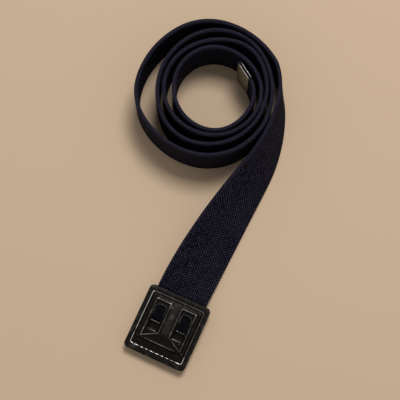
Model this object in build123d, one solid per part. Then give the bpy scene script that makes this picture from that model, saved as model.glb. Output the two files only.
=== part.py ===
from build123d import *
import os
from math import cos, radians, sin

# A woven web belt, wound up on its edge, with an open-face friction buckle on its
# outer end and a folded metal tip on its inner end. Millimetres, +Z up. The belt
# lies on z = 0 with the origin under the middle of its overall box.

# ---- strap ----
STRAP_WIDTH = 32.0
STRAP_THICK = 2.3
END_IN_BUCKLE = 18.5          # length of strap held inside the buckle
TWIST_STRAIGHT = 84.3         # straight run of the lower edge, from the buckle's mouth
TWIST_BENDS = [(108.0, 25.0), (52.0, 30.0)]     # (radius, sweep in degrees) up to the coil
TURN_SWEEP = 45.0             # each turn of the coil is eight arcs of this sweep
TURN_RADII = [
    [51.0, 36.5, 52.5, 31.0, 49.0, 37.5, 39.5, 44.5],
    [31.5, 32.5, 39.5, 38.5, 28.0, 34.5, 35.5, 37.0],
    [22.0, 38.0, 30.5, 27.5, 31.5, 29.0, 28.5, 24.5],
    [31.5, 23.5, 25.0, 27.5, 26.5, 20.0, 27.5, 17.0],
]
LAST_BEND = (12.0, 3.0)       # radius and sweep of the stretch before the tip
TWIST_SECTIONS = 25           # cross-sections of the twisting stretch
TWIST_EASE = 1.2              # 1 twists evenly; above 1 the twist eases off into the coil
DROP_LENGTH = 40.0            # the strap comes down from the mouth to the ground in this

# ---- buckle, in its own frame: +Y towards the strap, z = 0 on the ground ----
BUCKLE_CENTRE = (-23.57, -79.46)
BUCKLE_HEADING = 65.5         # direction of the buckle's +Y, in degrees from +X
STRAP_HEADING = 63.4          # the strap leaves the mouth slightly askew
BUCKLE_WIDTH = 39.5
BUCKLE_LENGTH = 41.0
RIM_Y = -0.4                  # the rim sits this much off the buckle's own centre
MOUTH_Y = 20.0                # the strap passes under the rim here
BUCKLE_CORNER = 2.8
PLATE_CORNER = 1.9
SHEET = 0.9                   # thickness of the buckle's pressed steel
PLATE_UNDER = 5.4             # height of the window plate's underside
PLATE_HALF_WIDTH = 18.8
PLATE_LENGTH = 38.8
PANEL_TOP = 7.0               # top of the raised panel around the windows
PANEL_Y = 1.7
PANEL_WIDTH = 30.6
PANEL_LENGTH = 28.0
PANEL_CORNER = 1.0
LIP_TOP = 7.4                 # top of the window lips and of the rim
LIP_OUTSIDE = 0.5             # width of a lip either side of its window's outline
LIP_INSIDE = 0.4
WINDOW_CORNERS = [(3.6, 13.3), (12.8, 13.3), (12.8, -10.9), (3.6, -5.9)]    # the right-hand one
WELL_TOP = 6.1                # floor of each window
HOLE_CENTRE = (8.3, 1.7)      # the hole through each window's floor
HOLE_WIDTH = 6.0
HOLE_LENGTH = 17.0
HOLE_CORNER = 1.8
GROOVE_CENTRE = (2.6, 3.6)    # a groove along each side of the stem between the windows
GROOVE_WIDTH = 0.8
GROOVE_LENGTH = 19.0
GROOVE_DEPTH = 0.4
FAR_RIDGE_Y = -11.8           # ridge across the far end of the panel
FAR_RIDGE_LENGTH = 19.8
FAR_RIDGE_WIDTH = 1.0
DIMPLE_CENTRE = (12.4, -12.6) # a pressed dimple beside each end of the far ridge
DIMPLE_LENGTH = 3.6
DIMPLE_WIDTH = 2.0
DIMPLE_DEPTH = 0.5
EAR_THICK = 1.0
EAR_OUTLINE = [(-13.5, PLATE_UNDER), (-13.5, 1.5), (-12.0, 0), (16.0, 0), (17.5, 1.5), (17.5, PLATE_UNDER)]
CHEEK_LENGTH = 30.0           # deeper stretch of the rim's skirt along each side
CHEEK_DEPTH = 2.2
OPENING_WIDTH = 33.0          # opening of the rim
OPENING_LENGTH = 33.4
OPENING_CORNER = 1.2
RIM_ROUND = 0.8               # rounding over the rim's outer edge
RUN_CLEAR = 0.05              # radial clearance of a pin or bar in its hole

# ---- lock bar and its slots ----
BAR_RADIUS = 1.4
BAR_END_RADIUS = 0.9
BAR_Y = -5.4
BAR_Z = 1.55
SLOT_TRAVEL = 5.0
SLOT_RISE_ANGLE = 14.5        # the slots climb away from the strap's end

# ---- end clamp and its pin ----
PIN_RADIUS = 0.8
PIN_Y = 14.6
PIN_Z = 1.55
PIN_HEAD_RADIUS = 1.2
PIN_HEAD_THICK = 0.5
BARREL_RADIUS = 1.3
CLAMP_HALF_WIDTH = 16.4
CLAMP_UNDER = 0.9
CLAMP_THICK = 1.0
CLAMP_TAIL_Y = -3.6           # the jaw runs on past its teeth, as a lip to lift it by
CLAMP_HINGE_Y = 14.3
TOOTH_PITCH = 2.1
TOOTH_COUNT = 13
EDGE_Y = 0.35                 # the upright toothed edge, just past the strap's cut end
EDGE_LENGTH = 27.4
EDGE_THICK = 0.9
EDGE_TOOTH_WIDTH = 1.9
EDGE_ROOT = 2.8
EDGE_TIP = 4.9
GRIP_Y = 6.0                  # the row of small teeth under the strap
GRIP_THICK = 0.6
GRIP_TOOTH_WIDTH = 1.2
TOOTH_TIP_WIDTH = 0.3
TOOTH_ROOTED = 0.1            # how far the teeth are sunk into the metal they stand on

# ---- tip ----
TIP_LENGTH = 12.5
TIP_SHEET = 0.4
TIP_CORNER = 3.0
PRESSED_STRAP = 1.5           # thickness of the strap where the tip is pressed on to it

STRAP_CLEAR = 0.1                                       # over and under the strap in the buckle
STRAP_UNDER = PLATE_UNDER - STRAP_CLEAR - STRAP_THICK   # underside of the strap there
BETWEEN_EARS = PLATE_HALF_WIDTH - EAR_THICK - 0.3       # half the length of bar and barrel
BUCKLE = Location((*BUCKLE_CENTRE, 0), (0, 0, BUCKLE_HEADING - 90))


def heading_vector(degrees):
    return Vector(cos(radians(degrees)), sin(radians(degrees)))


def left_of(degrees):
    return heading_vector(degrees + 90)


def after_arc(point, heading, radius, sweep):
    """Where a left-hand arc ends, and the heading there."""
    centre = point + left_of(heading) * radius
    return centre - left_of(heading + sweep) * radius, heading + sweep


def smooth(t):
    """0 to 1 with level ends."""
    t = min(max(t, 0), 1)
    return t * t * (3 - 2 * t)


# ---- route of the strap's lower edge ----
MOUTH = Vector(*BUCKLE_CENTRE) + heading_vector(BUCKLE_HEADING) * MOUTH_Y
EDGE_START = MOUTH - left_of(STRAP_HEADING) * STRAP_WIDTH / 2
TWIST_LENGTH = TWIST_STRAIGHT + sum(r * radians(sweep) for r, sweep in TWIST_BENDS)


def twist_edge(distance):
    """Point and heading of the lower edge, this far from the buckle's mouth."""
    straight = min(distance, TWIST_STRAIGHT)
    point = EDGE_START + heading_vector(STRAP_HEADING) * straight
    heading = STRAP_HEADING
    left = distance - straight
    for radius, sweep in TWIST_BENDS:
        turned = min(sweep, left / radians(1) / radius)
        point, heading = after_arc(point, heading, radius, turned)
        left = left - radius * radians(turned)
    return point, heading


def twist_section(distance):
    """The strap's cross-section: flat at the mouth, on its edge at the coil."""
    point, heading = twist_edge(distance)
    to_go = max(1 - distance / TWIST_LENGTH, 0)
    twist = radians(90 * (1 - to_go**TWIST_EASE))
    lift = STRAP_UNDER * (1 - smooth(distance / DROP_LENGTH))
    across = left_of(heading) * cos(twist) + Vector(0, 0, 1) * sin(twist)
    origin = point + Vector(0, 0, lift + STRAP_THICK / 2 * cos(twist))
    frame = Plane(origin=origin, x_dir=across, z_dir=heading_vector(heading))
    return frame * Pos(STRAP_WIDTH / 2, 0) * Rectangle(STRAP_WIDTH, STRAP_THICK)


def webbing_twist():
    step = TWIST_LENGTH / (TWIST_SECTIONS - 1)
    return loft([twist_section(step * k) for k in range(TWIST_SECTIONS)])


def webbing_clamped_end():
    along = heading_vector(STRAP_HEADING)
    middle = MOUTH - along * END_IN_BUCKLE / 2 + Vector(0, 0, STRAP_UNDER)
    frame = Plane(origin=middle, x_dir=along, z_dir=(0, 0, 1))
    solid = Box(END_IN_BUCKLE, STRAP_WIDTH, STRAP_THICK, align=(Align.CENTER, Align.CENTER, Align.MIN))
    return frame * solid


def arc_band(point, heading, arcs):
    """Strap standing on its edge along left-hand arcs, with its end point and heading."""
    half = STRAP_THICK / 2
    right_side, left_side = [], []
    first = (point - left_of(heading) * half, point + left_of(heading) * half)
    for radius, sweep in arcs:
        centre = point + left_of(heading) * radius
        start = heading - 90
        right_side.append(CenterArc(centre, radius + half, start, sweep))
        left_side.append(CenterArc(centre, radius - half, start, sweep))
        point, heading = after_arc(point, heading, radius, sweep)
    last = (point - left_of(heading) * half, point + left_of(heading) * half)
    outline = [*right_side, Line(*last), *left_side, Line(*first)]
    return extrude(make_face(outline), STRAP_WIDTH, dir=(0, 0, 1)), point, heading


def tip_blank(length, thick):
    """A standing plate that runs off along +X, its two far corners rounded off."""
    outline = Plane.XZ * Pos(0, STRAP_WIDTH / 2) * RectangleRounded(2 * TIP_LENGTH, STRAP_WIDTH, TIP_CORNER)
    block = Box(length, thick, STRAP_WIDTH, align=(Align.MIN, Align.CENTER, Align.MIN))
    return block & extrude(outline, thick, both=True)


def webbing_inner_end(point, heading):
    """The last bend, then the stretch that is pressed thin between the tip's two sides."""
    bend, point, heading = arc_band(point, heading, [LAST_BEND])
    frame = Plane(origin=point, x_dir=heading_vector(heading), z_dir=(0, 0, 1))
    held = tip_blank(TIP_LENGTH - TIP_SHEET - PRESSED_STRAP / 2, PRESSED_STRAP)
    return bend + frame * held, held, frame


def tip_ferrule(held, frame):
    """Sheet metal folded over the strap's end, open along both edges of the strap."""
    thick = PRESSED_STRAP + 2 * TIP_SHEET
    block = Box(TIP_LENGTH, thick, STRAP_WIDTH, align=(Align.MIN, Align.CENTER, Align.MIN))
    nose = block.faces().sort_by(Axis.X)[-1]
    folded = fillet(nose.edges().filter_by(Axis.Z), thick / 2 - 0.05)
    return frame * (folded & tip_blank(TIP_LENGTH, thick) - held)


# ---- buckle pieces ----
def both_sides(shape):
    return shape + mirror(shape, about=Plane.YZ)


def rounded_sheet(width, length, corner, low, high):
    return Pos(0, 0, low) * extrude(RectangleRounded(width, length, corner), high - low)


def rim_frame():
    """Pressed rim: a flat border, rounded over its outer edge into a short skirt."""
    plate_top = PLATE_UNDER + SHEET
    body = rounded_sheet(BUCKLE_WIDTH, BUCKLE_LENGTH, BUCKLE_CORNER, PLATE_UNDER, LIP_TOP)
    top_edges = body.faces().sort_by(Axis.Z)[-1].edges()
    body = fillet(top_edges, RIM_ROUND)
    inner = 2 * (PLATE_HALF_WIDTH + RUN_CLEAR)
    inner_length = inner + BUCKLE_LENGTH - BUCKLE_WIDTH
    body = body - rounded_sheet(inner, inner_length, PLATE_CORNER, 0, plate_top)
    body = body - rounded_sheet(OPENING_WIDTH, OPENING_LENGTH, OPENING_CORNER, 0, LIP_TOP + 1)
    wall = BUCKLE_WIDTH / 2 - inner / 2
    cheek = Box(wall, CHEEK_LENGTH, CHEEK_DEPTH, align=(Align.MAX, Align.CENTER, Align.MAX))
    return Pos(0, RIM_Y) * (body + both_sides(Pos(BUCKLE_WIDTH / 2, 0, PLATE_UNDER) * cheek))


def ear():
    """Side ear on the right, with its pin hole and the inclined slot for the lock bar."""
    outline = Polygon(*EAR_OUTLINE, align=None)
    slot_width = 2 * (BAR_END_RADIUS + RUN_CLEAR)
    slot = SlotCenterToCenter(SLOT_TRAVEL, slot_width)
    slot = Pos(BAR_Y, BAR_Z) * Rot(0, 0, 180 - SLOT_RISE_ANGLE) * Pos(SLOT_TRAVEL / 2, 0) * slot
    hole = Pos(PIN_Y, PIN_Z) * Circle(PIN_RADIUS + RUN_CLEAR)
    flat = outline - slot - hole
    return Pos(PLATE_HALF_WIDTH - EAR_THICK, 0, 0) * extrude(Plane.YZ * flat, EAR_THICK, dir=(1, 0, 0))


def window_plate():
    """Pressed plate: raised panel, two lipped windows, and the two side ears."""
    plate_top = PLATE_UNDER + SHEET
    plate = rounded_sheet(2 * PLATE_HALF_WIDTH, PLATE_LENGTH, PLATE_CORNER, PLATE_UNDER, plate_top)
    plate = Pos(0, RIM_Y) * plate
    panel = Pos(0, PANEL_Y) * RectangleRounded(PANEL_WIDTH, PANEL_LENGTH, PANEL_CORNER)
    plate = plate + Pos(0, 0, plate_top) * extrude(panel, PANEL_TOP - plate_top)
    far_ridge = Pos(0, FAR_RIDGE_Y) * SlotOverall(FAR_RIDGE_LENGTH, FAR_RIDGE_WIDTH)
    plate = plate + Pos(0, 0, PANEL_TOP) * extrude(far_ridge, LIP_TOP - PANEL_TOP)
    window = Polygon(*WINDOW_CORNERS, align=None)
    lip = offset(window, LIP_OUTSIDE) - offset(window, -LIP_INSIDE)
    plate = plate + both_sides(Pos(0, 0, PANEL_TOP) * extrude(lip, LIP_TOP - PANEL_TOP))
    well = Pos(0, 0, WELL_TOP) * extrude(offset(window, -LIP_INSIDE), LIP_TOP)
    groove = extrude(Rectangle(GROOVE_WIDTH, GROOVE_LENGTH), LIP_TOP)
    groove = Pos(*GROOVE_CENTRE, PANEL_TOP - GROOVE_DEPTH) * groove
    hole = Pos(*HOLE_CENTRE) * RectangleRounded(HOLE_WIDTH, HOLE_LENGTH, HOLE_CORNER)
    dimple = extrude(SlotOverall(DIMPLE_LENGTH, DIMPLE_WIDTH), LIP_TOP)
    dimple = Pos(*DIMPLE_CENTRE, plate_top - DIMPLE_DEPTH) * dimple
    plate = plate - both_sides(well) - both_sides(groove)
    plate = plate - both_sides(dimple) - both_sides(extrude(hole, LIP_TOP))
    return plate + both_sides(ear())


def cross_cylinder(radius, half_length, y, z):
    """A cylinder lying across the buckle."""
    return Pos(0, y, z) * Rot(0, 90, 0) * Cylinder(radius, 2 * half_length)


def lock_bar():
    """Round bar, reduced at both ends to run in the ears' slots."""
    thick = cross_cylinder(BAR_RADIUS, BETWEEN_EARS, BAR_Y, BAR_Z)
    return thick + cross_cylinder(BAR_END_RADIUS, PLATE_HALF_WIDTH, BAR_Y, BAR_Z)


def clamp_pin():
    """Pin through both ears, with a flat round head outside each."""
    shank = cross_cylinder(PIN_RADIUS, PLATE_HALF_WIDTH + PIN_HEAD_THICK, PIN_Y, PIN_Z)
    head = Rot(0, 90, 0) * Cylinder(PIN_HEAD_RADIUS, PIN_HEAD_THICK)
    return shank + both_sides(Pos(PLATE_HALF_WIDTH + PIN_HEAD_THICK / 2, PIN_Y, PIN_Z) * head)


def tooth_row(y, thick, base, tip, width):
    """Upright pointed teeth side by side across the clamp."""
    point = TOOTH_TIP_WIDTH / 2
    tooth = Polygon((-width / 2, base), (width / 2, base), (point, tip), (-point, tip), align=None)
    solid = extrude(Plane.XZ * tooth, thick / 2, both=True)
    first = -(TOOTH_COUNT - 1) / 2 * TOOTH_PITCH
    return [Pos(first + k * TOOTH_PITCH, y, 0) * solid for k in range(TOOTH_COUNT)]


def end_clamp():
    """Jaw under the strap: hinge barrel, plate, gripping teeth and an upright toothed edge."""
    plate_top = CLAMP_UNDER + CLAMP_THICK
    from_middle = (Align.CENTER, Align.MIN, Align.MIN)
    plate = Box(2 * CLAMP_HALF_WIDTH, CLAMP_HINGE_Y - CLAMP_TAIL_Y, CLAMP_THICK, align=from_middle)
    barrel = cross_cylinder(BARREL_RADIUS, BETWEEN_EARS, PIN_Y, PIN_Z)
    upright = Box(EDGE_LENGTH, EDGE_THICK, EDGE_ROOT + TOOTH_ROOTED - plate_top, align=from_middle)
    solid = Pos(0, CLAMP_TAIL_Y, CLAMP_UNDER) * plate + barrel
    solid = solid + Pos(0, EDGE_Y - EDGE_THICK / 2, plate_top) * upright
    grip_tip = STRAP_UNDER - STRAP_CLEAR
    edge_teeth = tooth_row(EDGE_Y, EDGE_THICK, EDGE_ROOT, EDGE_TIP, EDGE_TOOTH_WIDTH)
    grip_teeth = tooth_row(GRIP_Y, GRIP_THICK, plate_top - TOOTH_ROOTED, grip_tip, GRIP_TOOTH_WIDTH)
    for tooth in edge_teeth + grip_teeth:
        solid = solid + tooth
    return solid - cross_cylinder(PIN_RADIUS + RUN_CLEAR, BUCKLE_WIDTH, PIN_Y, PIN_Z)


parts = {
    "rim_frame": BUCKLE * rim_frame(),
    "window_plate": BUCKLE * window_plate(),
    "lock_bar": BUCKLE * lock_bar(),
    "end_clamp": BUCKLE * end_clamp(),
    "clamp_pin": BUCKLE * clamp_pin(),
    "webbing_clamped_end": webbing_clamped_end(),
    "webbing_twist": webbing_twist(),
}

place, direction = twist_edge(TWIST_LENGTH)
for number, radii in enumerate(TURN_RADII, start=1):
    arcs = [(radius, TURN_SWEEP) for radius in radii]
    parts[f"webbing_turn_{number}"], place, direction = arc_band(place, direction, arcs)
parts["webbing_inner_end"], held_end, tip_frame = webbing_inner_end(place, direction)
parts["tip_ferrule"] = tip_ferrule(held_end, tip_frame)

os.makedirs("parts", exist_ok=True)
for name, shape in parts.items():
    export_step(shape, f"parts/{name}.step")
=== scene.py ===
"""A navy web belt with an open-face friction buckle, wound up on its edge."""

from math import ceil, cos, pi, radians, sin, tau

import bpy
import numpy as np
from mathutils import Matrix, Vector


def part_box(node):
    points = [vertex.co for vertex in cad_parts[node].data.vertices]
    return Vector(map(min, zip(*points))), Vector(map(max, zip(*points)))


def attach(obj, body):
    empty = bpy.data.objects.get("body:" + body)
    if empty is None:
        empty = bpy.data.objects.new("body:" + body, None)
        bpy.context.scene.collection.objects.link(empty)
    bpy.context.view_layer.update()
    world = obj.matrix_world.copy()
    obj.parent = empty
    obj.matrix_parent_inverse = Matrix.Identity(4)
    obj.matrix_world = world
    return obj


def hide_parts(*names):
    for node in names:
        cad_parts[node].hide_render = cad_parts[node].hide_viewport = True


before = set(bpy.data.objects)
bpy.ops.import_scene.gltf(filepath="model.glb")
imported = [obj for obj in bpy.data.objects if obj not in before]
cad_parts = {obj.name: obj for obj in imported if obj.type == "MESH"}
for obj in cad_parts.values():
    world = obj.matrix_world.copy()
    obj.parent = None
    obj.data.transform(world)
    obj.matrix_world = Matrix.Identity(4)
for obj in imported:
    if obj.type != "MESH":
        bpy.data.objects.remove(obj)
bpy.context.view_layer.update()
scene = bpy.context.scene


# ==== Camera =====================================================================
# A long lens above the belt, on the buckle's side, tipped a little towards the coil
# so that the coil's standing turns show their inner walls at the far side.
camera_data = bpy.data.cameras.new("camera")
camera_data.sensor_width = 36
camera_data.lens = 110.3
camera = bpy.data.objects.new("camera", camera_data)
camera.location = (-0.0042, -0.1601, 0.738)
camera.rotation_euler = (radians(12.2), 0, 0)
scene.collection.objects.link(camera)
scene.camera = camera
scene.view_settings.view_transform = "Standard"


# ==== Floor and studio light =====================================================
# A plain pale sheet under the belt, one large soft light almost overhead, a little
# beyond the coil and to its right, and a pale room that fills the shadows.
floor_mesh = bpy.data.meshes.new("floor")
FLOOR_HALF = 3.0
floor_corners = [(x, y, -0.0001) for x, y in ((-1, -1), (1, -1), (1, 1), (-1, 1))]
floor_mesh.from_pydata([(x * FLOOR_HALF, y * FLOOR_HALF, z) for x, y, z in floor_corners], [], [(0, 1, 2, 3)])
floor = bpy.data.objects.new("floor", floor_mesh)
scene.collection.objects.link(floor)

floor_paper = bpy.data.materials.new("pale warm paper")
floor_paper.use_nodes = True
paper_shader = floor_paper.node_tree.nodes["Principled BSDF"]
paper_shader.inputs["Base Color"].default_value = (0.58, 0.44, 0.31, 1)
paper_shader.inputs["Roughness"].default_value = 0.9
paper_shader.inputs["Specular IOR Level"].default_value = 0.2
floor_mesh.materials.append(floor_paper)

room = bpy.data.worlds.new("pale room")
scene.world = room
room.use_nodes = True
room.node_tree.nodes["Background"].inputs["Color"].default_value = (1.0, 0.97, 0.93, 1)
room.node_tree.nodes["Background"].inputs["Strength"].default_value = 0.36


def soft_light(name, place, aim, width, watts, tint):
    """A square area light of this width, turned to face the aim point."""
    light = bpy.data.lights.new(name, "AREA")
    light.size = width
    light.energy = watts
    light.color = tint
    lamp = bpy.data.objects.new(name, light)
    lamp.location = place
    lamp.rotation_euler = (Vector(aim) - Vector(place)).to_track_quat("-Z", "Y").to_euler()
    scene.collection.objects.link(lamp)


soft_light("window", (0.22, 0.56, 1.38), (0, 0, 0), 0.5, 15.5, (1.0, 0.98, 0.95))


# ==== Window plate ===============================================================
# The buckle's body: one blank of thin steel pressed into a raised T-shaped panel with
# two lipped windows, its side ears folded down. Blackened, rubbed on its ridges, and
# painted lighter along them as a painted highlight.
MM = 0.001
BUCKLE_HEADING = 65.5
RIM_Y = -0.4
SHEET = 0.9
PLATE_HALF_WIDTH = 18.8
PLATE_LENGTH = 38.8
PLATE_CORNER = 1.9
PLATE_TOP = 6.3
PANEL_RISE = 0.7
LIP_RISE = 0.5
WELL_DEPTH = 0.75
EAR_THICK = 1.0
PANEL_SIZE = (30.6, 28.0)
PANEL_Y = 1.7
HOLE_X = 8.3
HOLE_Y = 1.7
HOLE_SIZE = (6.0, 17.0)
HOLE_CORNER = 1.8
HOLE_RING_RISE = 0.22
GROOVE_X = 2.45
GROOVE_Y = 3.6
GROOVE_LENGTH = 18.2
GROOVE_DEPTH = 0.3
DIMPLE_PLACE = (11.6, -12.6)
DIMPLE_LENGTH = 1.6
DIMPLE_DEPTH = 0.45
FAR_RIDGE_Y = -11.8
FAR_RIDGE_HALF = 9.4
FAR_RIDGE_RISE = 0.5
PLATE_CELL = 0.22
PLATE_EDGE = 0.3
EAR_CELL = 0.25
EAR_EDGE = 0.25
WINDOW_OUTLINE = [(3.6, 13.3), (12.8, 13.3), (12.8, -10.9), (3.6, -5.9)]
EAR_OUTLINE = [(-13.5, 5.9), (-13.5, 1.5), (-12.0, 0.02), (16.0, 0.02), (17.5, 1.5), (17.5, 5.9)]
BAR_Y = -5.4
BAR_Z = 1.55
SLOT_TRAVEL = 5.0
SLOT_RISE_ANGLE = 14.5
SLOT_HALF_WIDTH = 0.95
PIN_Y = 14.6
PIN_Z = 1.55
PIN_HOLE_RADIUS = 0.85

along_buckle = Vector((cos(radians(BUCKLE_HEADING)), sin(radians(BUCKLE_HEADING)), 0))
rim_low, rim_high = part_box("rim_frame")
rim_middle = (rim_low + rim_high) / 2
buckle_place = Vector((rim_middle.x, rim_middle.y, 0)) - along_buckle * RIM_Y * MM
in_buckle = Matrix.Translation(buckle_place) @ Matrix.Rotation(radians(BUCKLE_HEADING - 90), 4, "Z")
in_buckle_mm = in_buckle @ Matrix.Scale(MM, 4)


def level(value):
    """Smooth step from 0 to 1 as the value goes from 0 to 1."""
    t = np.clip(value, 0, 1)
    return t * t * (3 - 2 * t)


def hump(distance, half_width):
    """A rounded ridge, 1 on its crest and 0 from half_width away."""
    return np.cos(np.clip(np.abs(distance) / half_width, 0, 1) * pi / 2) ** 2


def rounded_box_gap(x, y, width, length, corner):
    """Distance outside a rounded rectangle about the origin; negative inside."""
    dx = np.abs(x) - width / 2 + corner
    dy = np.abs(y) - length / 2 + corner
    outside = np.hypot(np.maximum(dx, 0), np.maximum(dy, 0))
    return outside + np.minimum(np.maximum(dx, dy), 0) - corner


def polygon_gap(x, y, corners):
    """Distance outside a polygon; negative inside."""
    nearest = np.full(np.shape(x), np.inf)
    inside = np.zeros(np.shape(x), bool)
    for (ax, ay), (bx, by) in zip(corners, corners[1:] + corners[:1]):
        ex, ey = bx - ax, by - ay
        t = np.clip(((x - ax) * ex + (y - ay) * ey) / (ex * ex + ey * ey), 0, 1)
        nearest = np.minimum(nearest, np.hypot(x - ax - t * ex, y - ay - t * ey))
        if ay != by:
            crosses = (ay > y) != (by > y)
            inside ^= crosses & (x < ax + (y - ay) * ex / ey)
    return np.where(inside, -nearest, nearest)


def slot_gap(x, y, start, angle, length, half_width):
    """Distance outside a round-ended slot that starts here and runs off at this angle."""
    ux, uy = cos(radians(angle)), sin(radians(angle))
    t = np.clip((x - start[0]) * ux + (y - start[1]) * uy, 0, length)
    return np.hypot(x - start[0] - t * ux, y - start[1] - t * uy) - half_width


def sheet_faces(gap, top, thick, low, high, cell, edge_round):
    """Points, quads and rub values of a pressed sheet in its own flat coordinates.

    gap(x, y) is negative in the metal, top(x, y) is the height of its upper face.
    """
    columns = ceil((high[0] - low[0]) / cell) + 1
    rows = ceil((high[1] - low[1]) / cell) + 1
    x, y = np.meshgrid(np.linspace(low[0], high[0], columns), np.linspace(low[1], high[1], rows))
    distance = gap(x, y)
    metal = distance < 0
    step = cell / 10
    for _ in range(2):
        slope_x = (gap(x + step, y) - gap(x - step, y)) / (2 * step)
        slope_y = (gap(x, y + step) - gap(x, y - step)) / (2 * step)
        size = np.maximum(np.hypot(slope_x, slope_y), 0.3)
        pull = np.where(metal, 0, gap(x, y)) / size**2
        x, y = x - slope_x * pull, y - slope_y * pull
    used = metal[:-1, :-1] | metal[1:, :-1] | metal[:-1, 1:] | metal[1:, 1:]
    height = top(x, y)
    blurred = height.copy()
    for shift in range(1, 5):
        blurred = blurred + np.roll(height, shift, 0) + np.roll(height, -shift, 0)
        blurred = blurred + np.roll(height, shift, 1) + np.roll(height, -shift, 1)
    rub = level((height - blurred / 17) / 0.16)
    inward = np.clip(-gap(x, y), 0, edge_round)
    drop = edge_round - np.sqrt(np.maximum(edge_round**2 - (edge_round - inward) ** 2, 0))
    rub = np.maximum(rub, 0.8 * level(1 - inward / edge_round))
    number = np.arange(rows * columns).reshape(rows, columns)
    a, b, c, d = (n[used] for n in (number[:-1, :-1], number[:-1, 1:], number[1:, 1:], number[1:, :-1]))
    quads = np.stack([a, b, c, d], 1)
    edges = np.concatenate([quads[:, [k, (k + 1) % 4]] for k in range(4)])
    keys = edges[:, 0] * number.size + edges[:, 1]
    rim = edges[~np.isin(keys, edges[:, 1] * number.size + edges[:, 0])]
    upper = np.stack([x.ravel(), y.ravel(), (height - drop).ravel()], 1)
    lower = np.stack([x.ravel(), y.ravel(), (height - thick + 0.5 * drop).ravel()], 1)
    points = np.concatenate([upper, lower])
    count = number.size
    walls = np.stack([rim[:, 1], rim[:, 0], rim[:, 0] + count, rim[:, 1] + count], 1)
    faces = np.concatenate([quads, quads[:, ::-1] + count, walls])
    kept = np.unique(faces)
    renumber = np.zeros(2 * count, int)
    renumber[kept] = np.arange(len(kept))
    return points[kept], renumber[faces], np.tile(rub.ravel(), 2)[kept]


def build_piece(name, shells, place):
    """One smooth-shaded object from shells of (points, faces, rub), set in its place."""
    points, faces, rub = [], [], []
    for shell_points, shell_faces, shell_rub in shells:
        start = len(points)
        points.extend(map(tuple, shell_points))
        faces.extend(tuple(int(v) + start for v in face) for face in shell_faces)
        rub.extend(shell_rub)
    mesh = bpy.data.meshes.new(name)
    mesh.from_pydata(points, [], faces)
    mesh.transform(place)
    mesh.attributes.new("rub", "FLOAT", "POINT").data.foreach_set("value", np.array(rub, np.float32))
    mesh.shade_smooth()
    mesh.update()
    piece = bpy.data.objects.new(name, mesh)
    scene.collection.objects.link(piece)
    return piece


def window_gap(x, y):
    """Distance outside the two lipped windows, which mirror each other."""
    return polygon_gap(np.abs(x), y, WINDOW_OUTLINE)


def hole_gap(x, y):
    """Distance outside the round-cornered hole in the floor of each window."""
    return rounded_box_gap(np.abs(x) - HOLE_X, y - HOLE_Y, *HOLE_SIZE, HOLE_CORNER)


def far_ridge_gap(x, y):
    """Distance from the middle line of the ridge across the plate's far border."""
    return slot_gap(np.abs(x), y, (0, FAR_RIDGE_Y), 0, FAR_RIDGE_HALF, 0)


def plate_gap(x, y):
    """The plate's outline, less the two holes."""
    outer = rounded_box_gap(x, y - RIM_Y, 2 * PLATE_HALF_WIDTH, PLATE_LENGTH, PLATE_CORNER)
    return np.maximum(outer, -hole_gap(x, y))


def plate_height(x, y):
    """Upper face: raised panel, sunk windows with lips, grooves, dimples and far ridge."""
    panel = rounded_box_gap(x, y - PANEL_Y, *PANEL_SIZE, 1.0)
    height = PLATE_TOP + PANEL_RISE * level(0.5 - panel / 0.7)
    window = window_gap(x, y)
    height = height - WELL_DEPTH * level((-window - 0.15) / 0.5)
    height = height + LIP_RISE * hump(window, 0.75)
    height = height + HOLE_RING_RISE * hump(hole_gap(x, y) - 0.45, 0.5) * (window < 0)
    groove = rounded_box_gap(np.abs(x) - GROOVE_X, y - GROOVE_Y, 0.05, GROOVE_LENGTH, 0.02)
    height = height - GROOVE_DEPTH * hump(groove, 0.55)
    dimple = slot_gap(np.abs(x), y, DIMPLE_PLACE, 0, DIMPLE_LENGTH, 0)
    height = height - DIMPLE_DEPTH * hump(dimple, 1.1)
    return height + FAR_RIDGE_RISE * hump(far_ridge_gap(x, y), 0.9)


def ear_gap(y, z):
    """An ear's outline, less the lock bar's slot and the pin's hole."""
    metal = polygon_gap(y, z, EAR_OUTLINE)
    slot = slot_gap(y, z, (BAR_Y, BAR_Z), 180 - SLOT_RISE_ANGLE, SLOT_TRAVEL, SLOT_HALF_WIDTH)
    hole = slot_gap(y, z, (PIN_Y, PIN_Z), 0, 0, PIN_HOLE_RADIUS)
    return np.maximum(np.maximum(metal, -slot), -hole)


def flat(x, y):
    """The face of a sheet with nothing pressed into it."""
    return np.zeros_like(x)


plate_half_length = PLATE_LENGTH / 2
plate_low = (-PLATE_HALF_WIDTH - PLATE_EDGE, RIM_Y - plate_half_length - PLATE_EDGE)
plate_high = (PLATE_HALF_WIDTH + PLATE_EDGE, RIM_Y + plate_half_length + PLATE_EDGE)
plate_points, plate_faces, plate_rub_and_highlight = sheet_faces(
    plate_gap, plate_height, SHEET, plate_low, plate_high, PLATE_CELL, PLATE_EDGE
)
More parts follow.
